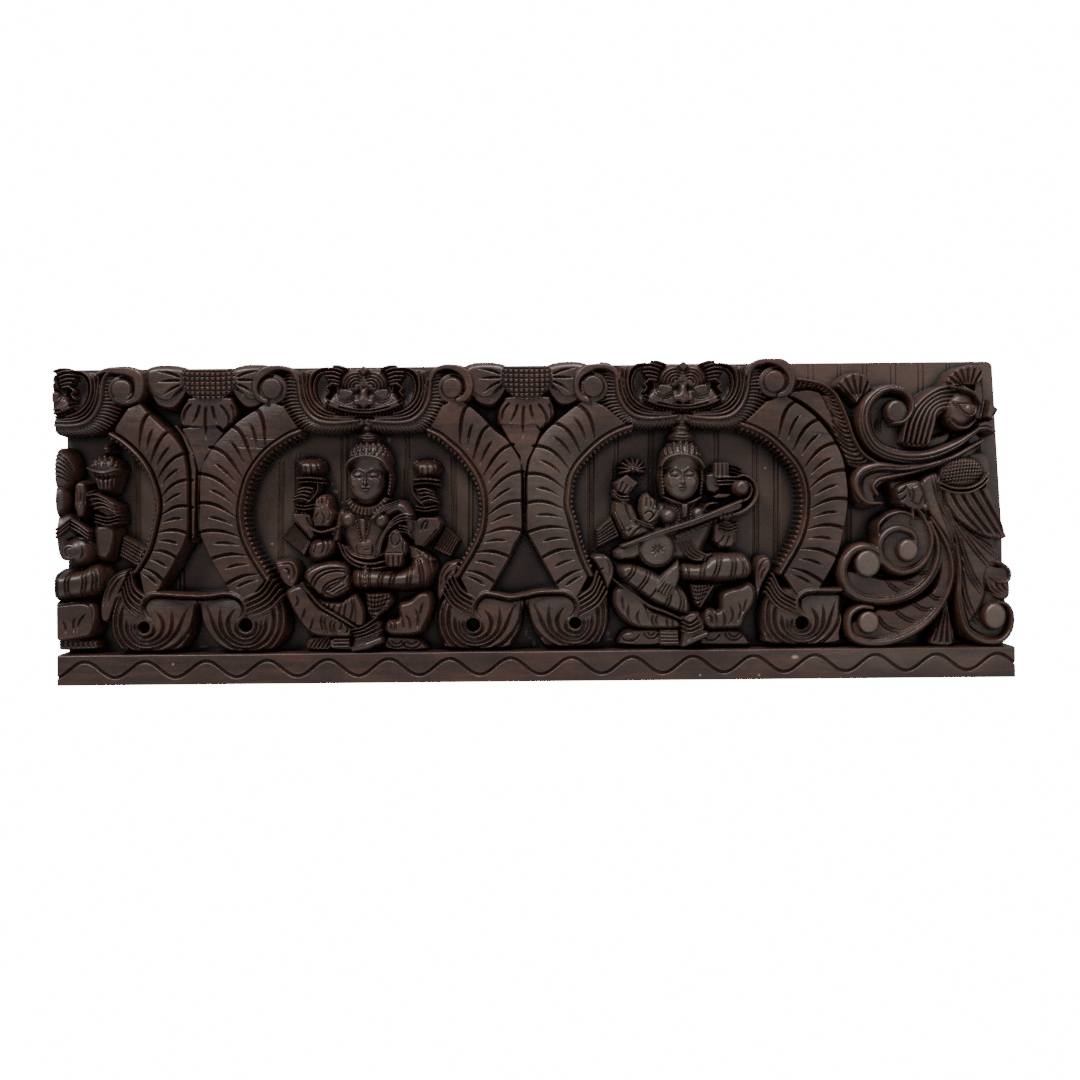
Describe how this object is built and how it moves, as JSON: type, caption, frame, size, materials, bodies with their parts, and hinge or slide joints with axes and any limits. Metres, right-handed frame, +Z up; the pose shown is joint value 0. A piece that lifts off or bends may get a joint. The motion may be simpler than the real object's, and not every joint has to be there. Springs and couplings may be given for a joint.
{
  "type": "carved wall panel",
  "caption": "Long dark wooden wall panel carved in high relief with an arcade of seated figures, lion masks, lotus finials, a scrolling bird end and a wavy rail.",
  "frame": {"origin": "middle of the flat back face", "axes": "+X along the panel to the right seen from the front, +Y into the wall, +Z up; the carving faces -Y"},
  "size_m": [0.912, 0.0664, 0.305],
  "materials": {
    "stained_wood": "dark stained and waxed hardwood with a soft gloss, darker in the recesses"
  },
  "bodies": {
    "root": {"carved_panel": "stained_wood"}
  },
  "joints": []
}
